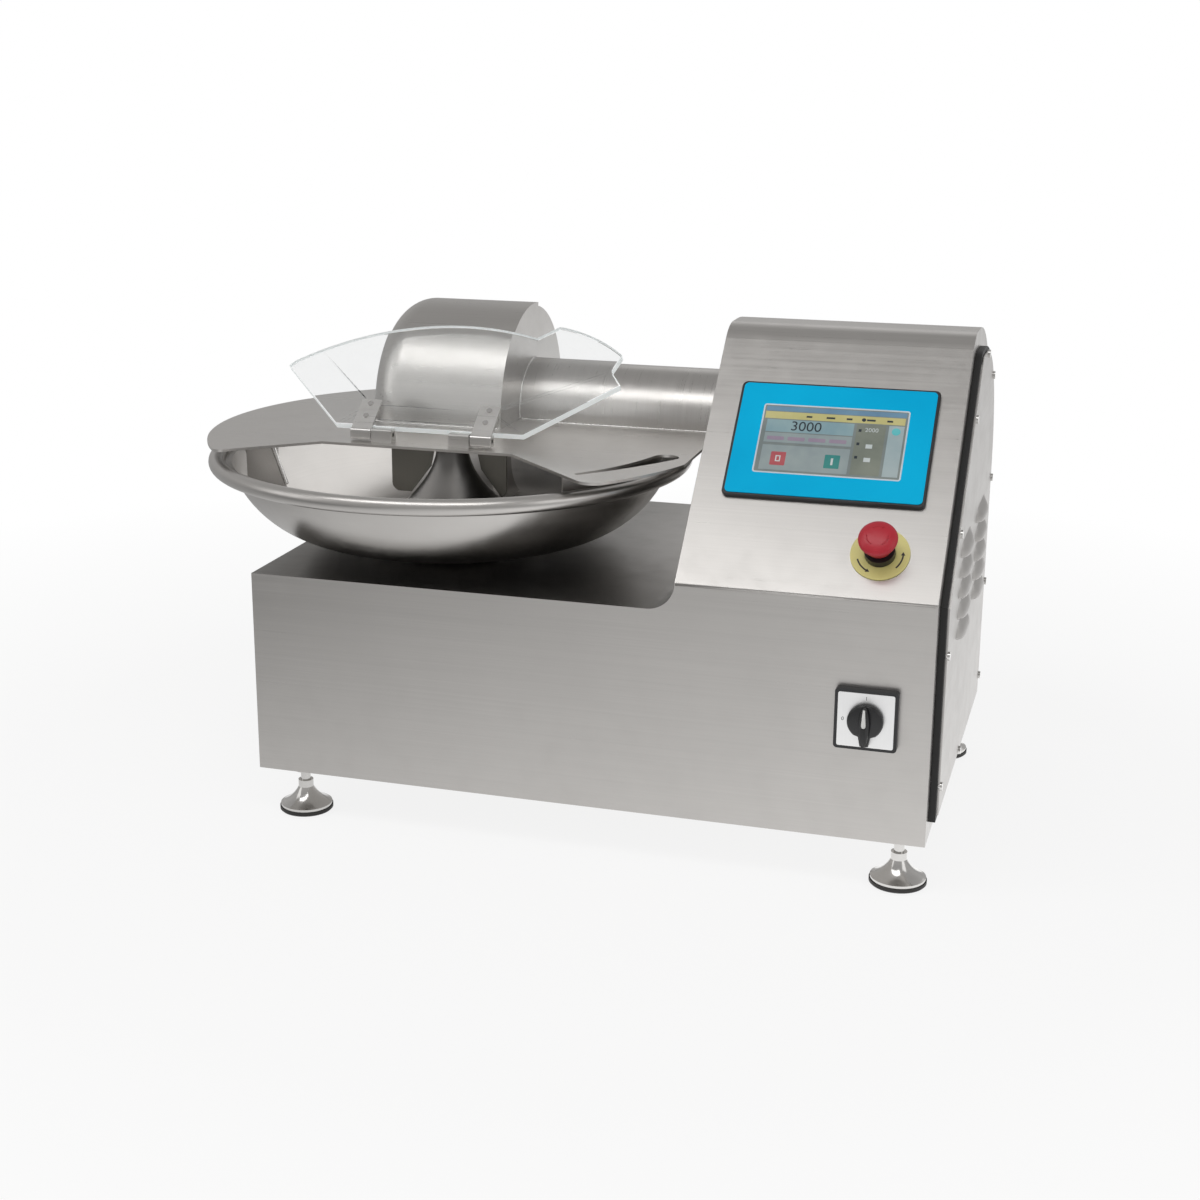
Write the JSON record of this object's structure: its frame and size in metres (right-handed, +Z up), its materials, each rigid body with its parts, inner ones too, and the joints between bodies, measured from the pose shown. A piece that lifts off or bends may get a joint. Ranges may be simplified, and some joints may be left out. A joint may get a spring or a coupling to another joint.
{
  "type": "meat bowl cutter",
  "caption": "Table-top bowl cutter: turning bowl with sickle knives under a tilting lid with a clear flip-up guard, beside a sloped console with touch panel, stop button and switch.",
  "frame": {"origin": "on the floor under the middle of the whole machine's bounding box", "axes": "+X to the right along the front (the console end), +Y to the back, +Z up"},
  "size_m": [0.8765, 0.554, 0.545],
  "materials": {
    "brushed_stainless": "satin, fine straight grain",
    "polished_stainless": "polished, turned",
    "blade_steel": "ground",
    "shaft_steel": "ground",
    "cast_aluminium": "as cast",
    "motor_paint": "semi-gloss enamel",
    "frame_paint": "matt enamel",
    "seal_rubber": "matt",
    "belt_rubber": "matt",
    "clear_acrylic": "clear, polished edges",
    "bearing_polymer": "turned",
    "black_plastic": "satin",
    "screen_glass": "gloss",
    "yellow_plastic": "satin",
    "red_plastic": "gloss",
    "switch_metal": "brushed"
  },
  "bodies": {
    "machine": {"housing_shell": "brushed_stainless", "bottom_plate": "brushed_stainless", "foot_bosses": "brushed_stainless", "cover_seal": "seal_rubber", "side_cover": "brushed_stainless", "cover_screws": "polished_stainless", "bowl_turret": "polished_stainless", "bowl_bearings": "shaft_steel", "bowl_gearmotor": "motor_paint", "shaft_housing": "brushed_stainless", "shaft_bearings": "shaft_steel", "shaft_seal": "seal_rubber", "knife_motor": "motor_paint", "drive_frame": "frame_paint", "drive_belts": "belt_rubber", "lid_bushes": "bearing_polymer", "rear_knife_guard": "brushed_stainless", "rear_cover": "brushed_stainless", "touch_panel_housing": "black_plastic", "touch_panel_glass": "screen_glass", "estop_ring": "yellow_plastic", "estop_body": "black_plastic", "switch_body": "black_plastic", "switch_plate": "switch_metal", "cable_gland": "black_plastic"},
    "bowl_set": {"bowl": "polished_stainless", "bowl_hub": "polished_stainless", "bowl_nut": "polished_stainless", "bowl_shaft": "shaft_steel"},
    "knife_set": {"knife_shaft": "shaft_steel", "knife_blade_1": "blade_steel", "knife_blade_2": "blade_steel", "knife_blade_3": "blade_steel", "knife_spacers": "polished_stainless", "knife_nut": "polished_stainless", "knife_pulley": "cast_aluminium"},
    "motor_set": {"motor_shaft": "shaft_steel", "motor_pulley": "cast_aluminium"},
    "lid": {"lid_plate": "brushed_stainless", "knife_cover": "brushed_stainless", "lid_sleeve": "brushed_stainless", "splash_wall": "brushed_stainless", "bowl_scraper": "brushed_stainless", "scraper_bracket": "brushed_stainless", "temperature_probe": "polished_stainless", "hinge_blocks": "polished_stainless", "hinge_pins": "polished_stainless"},
    "guard": {"safety_guard": "clear_acrylic", "hinge_leaves": "polished_stainless", "guard_screws": "polished_stainless"},
    "estop_head": {"estop_button": "red_plastic"},
    "switch_grip": {"switch_knob": "black_plastic"},
    "foot_front_left": {"foot_stem_front_left": "polished_stainless", "foot_pad_front_left": "seal_rubber"},
    "foot_front_right": {"foot_stem_front_right": "polished_stainless", "foot_pad_front_right": "seal_rubber"},
    "foot_rear_left": {"foot_stem_rear_left": "polished_stainless", "foot_pad_rear_left": "seal_rubber"},
    "foot_rear_right": {"foot_stem_rear_right": "polished_stainless", "foot_pad_rear_right": "seal_rubber"}
  },
  "joints": [
    {"name": "bowl_spin", "type": "hinge", "parent": "machine", "child": "bowl_set", "pos_m": [-0.16125, 0, 0.345], "axis": [0, 0, 1], "continuous": true},
    {"name": "knife_spin", "type": "hinge", "parent": "machine", "child": "knife_set", "pos_m": [0, 0.136, 0.417], "axis": [1, 0, 0], "continuous": true},
    {"name": "motor_spin", "type": "hinge", "parent": "machine", "child": "motor_set", "pos_m": [0.3, 0.046, 0.167], "axis": [1, 0, 0], "continuous": true},
    {"name": "lid_tilt", "type": "hinge", "parent": "machine", "child": "lid", "pos_m": [0, 0.136, 0.417], "axis": [-1, 0, 0], "range_deg": [0, 80]},
    {"name": "guard_hinge", "type": "hinge", "parent": "lid", "child": "guard", "pos_m": [-0.16125, -0.08, 0.419], "axis": [1, 0, 0], "range_deg": [0, 142]},
    {"name": "estop_press", "type": "slide", "parent": "machine", "child": "estop_head", "axis": [0, 0.7133, -0.7009], "range_m": [0, 0.006], "stiffness_N_per_m": 1000, "springref_m": -0.002},
    {"name": "switch_turn", "type": "hinge", "parent": "machine", "child": "switch_grip", "pos_m": [0.35655, -0.21, 0.188], "axis": [0, -1, 0], "range_deg": [0, 90]},
    {"name": "foot_front_left_height", "type": "slide", "parent": "machine", "child": "foot_front_left", "axis": [0, 0, 1], "range_m": [-0.015, 0]},
    {"name": "foot_front_right_height", "type": "slide", "parent": "machine", "child": "foot_front_right", "axis": [0, 0, 1], "range_m": [-0.015, 0]},
    {"name": "foot_rear_left_height", "type": "slide", "parent": "machine", "child": "foot_rear_left", "axis": [0, 0, 1], "range_m": [-0.015, 0]},
    {"name": "foot_rear_right_height", "type": "slide", "parent": "machine", "child": "foot_rear_right", "axis": [0, 0, 1], "range_m": [-0.015, 0]}
  ],
  "couplings": [
    {"joint": "motor_spin", "follows": "knife_spin", "ratio": 0.8}
  ]
}
